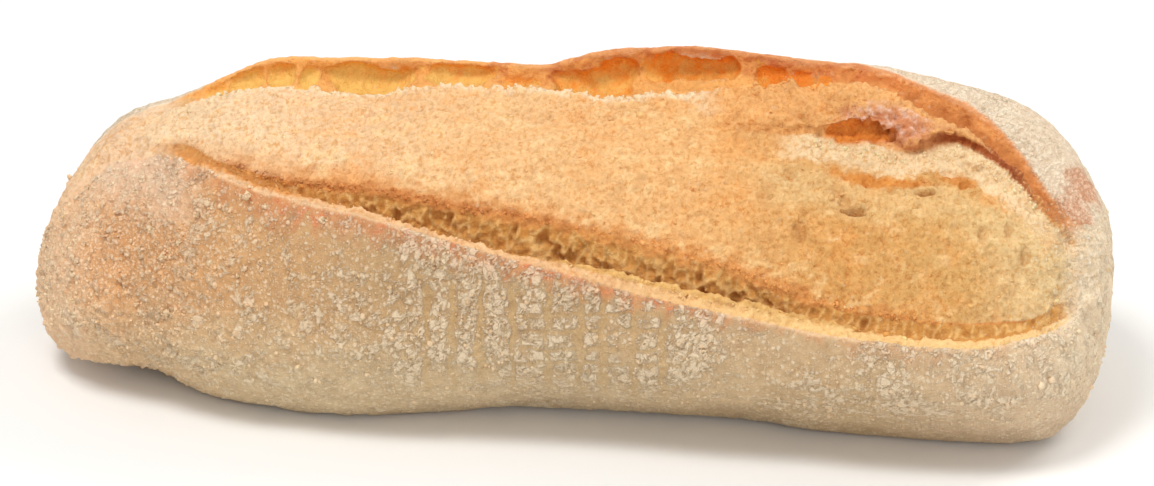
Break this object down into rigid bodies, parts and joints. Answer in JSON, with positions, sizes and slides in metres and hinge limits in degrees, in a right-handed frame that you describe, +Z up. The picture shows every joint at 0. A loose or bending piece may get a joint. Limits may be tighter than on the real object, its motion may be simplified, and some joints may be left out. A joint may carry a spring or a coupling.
{
  "type": "sourdough roll",
  "caption": "Oblong rustic sourdough roll with a floured crust, opened along one long cut into a wide bloom under a torn ear.",
  "frame": {"origin": "centre of the roll's bounding box on the plane of its flat underside", "axes": "+X along the roll's length, towards the end where the ear runs down; -Y towards the floured front lip of the cut; +Z up"},
  "size_m": [0.1704, 0.07, 0.0509],
  "materials": {
    "crust": "matte baked crust, floured in front and behind, glossier browned bloom and ear"
  },
  "bodies": {
    "root": {"roll": "crust"}
  },
  "joints": []
}
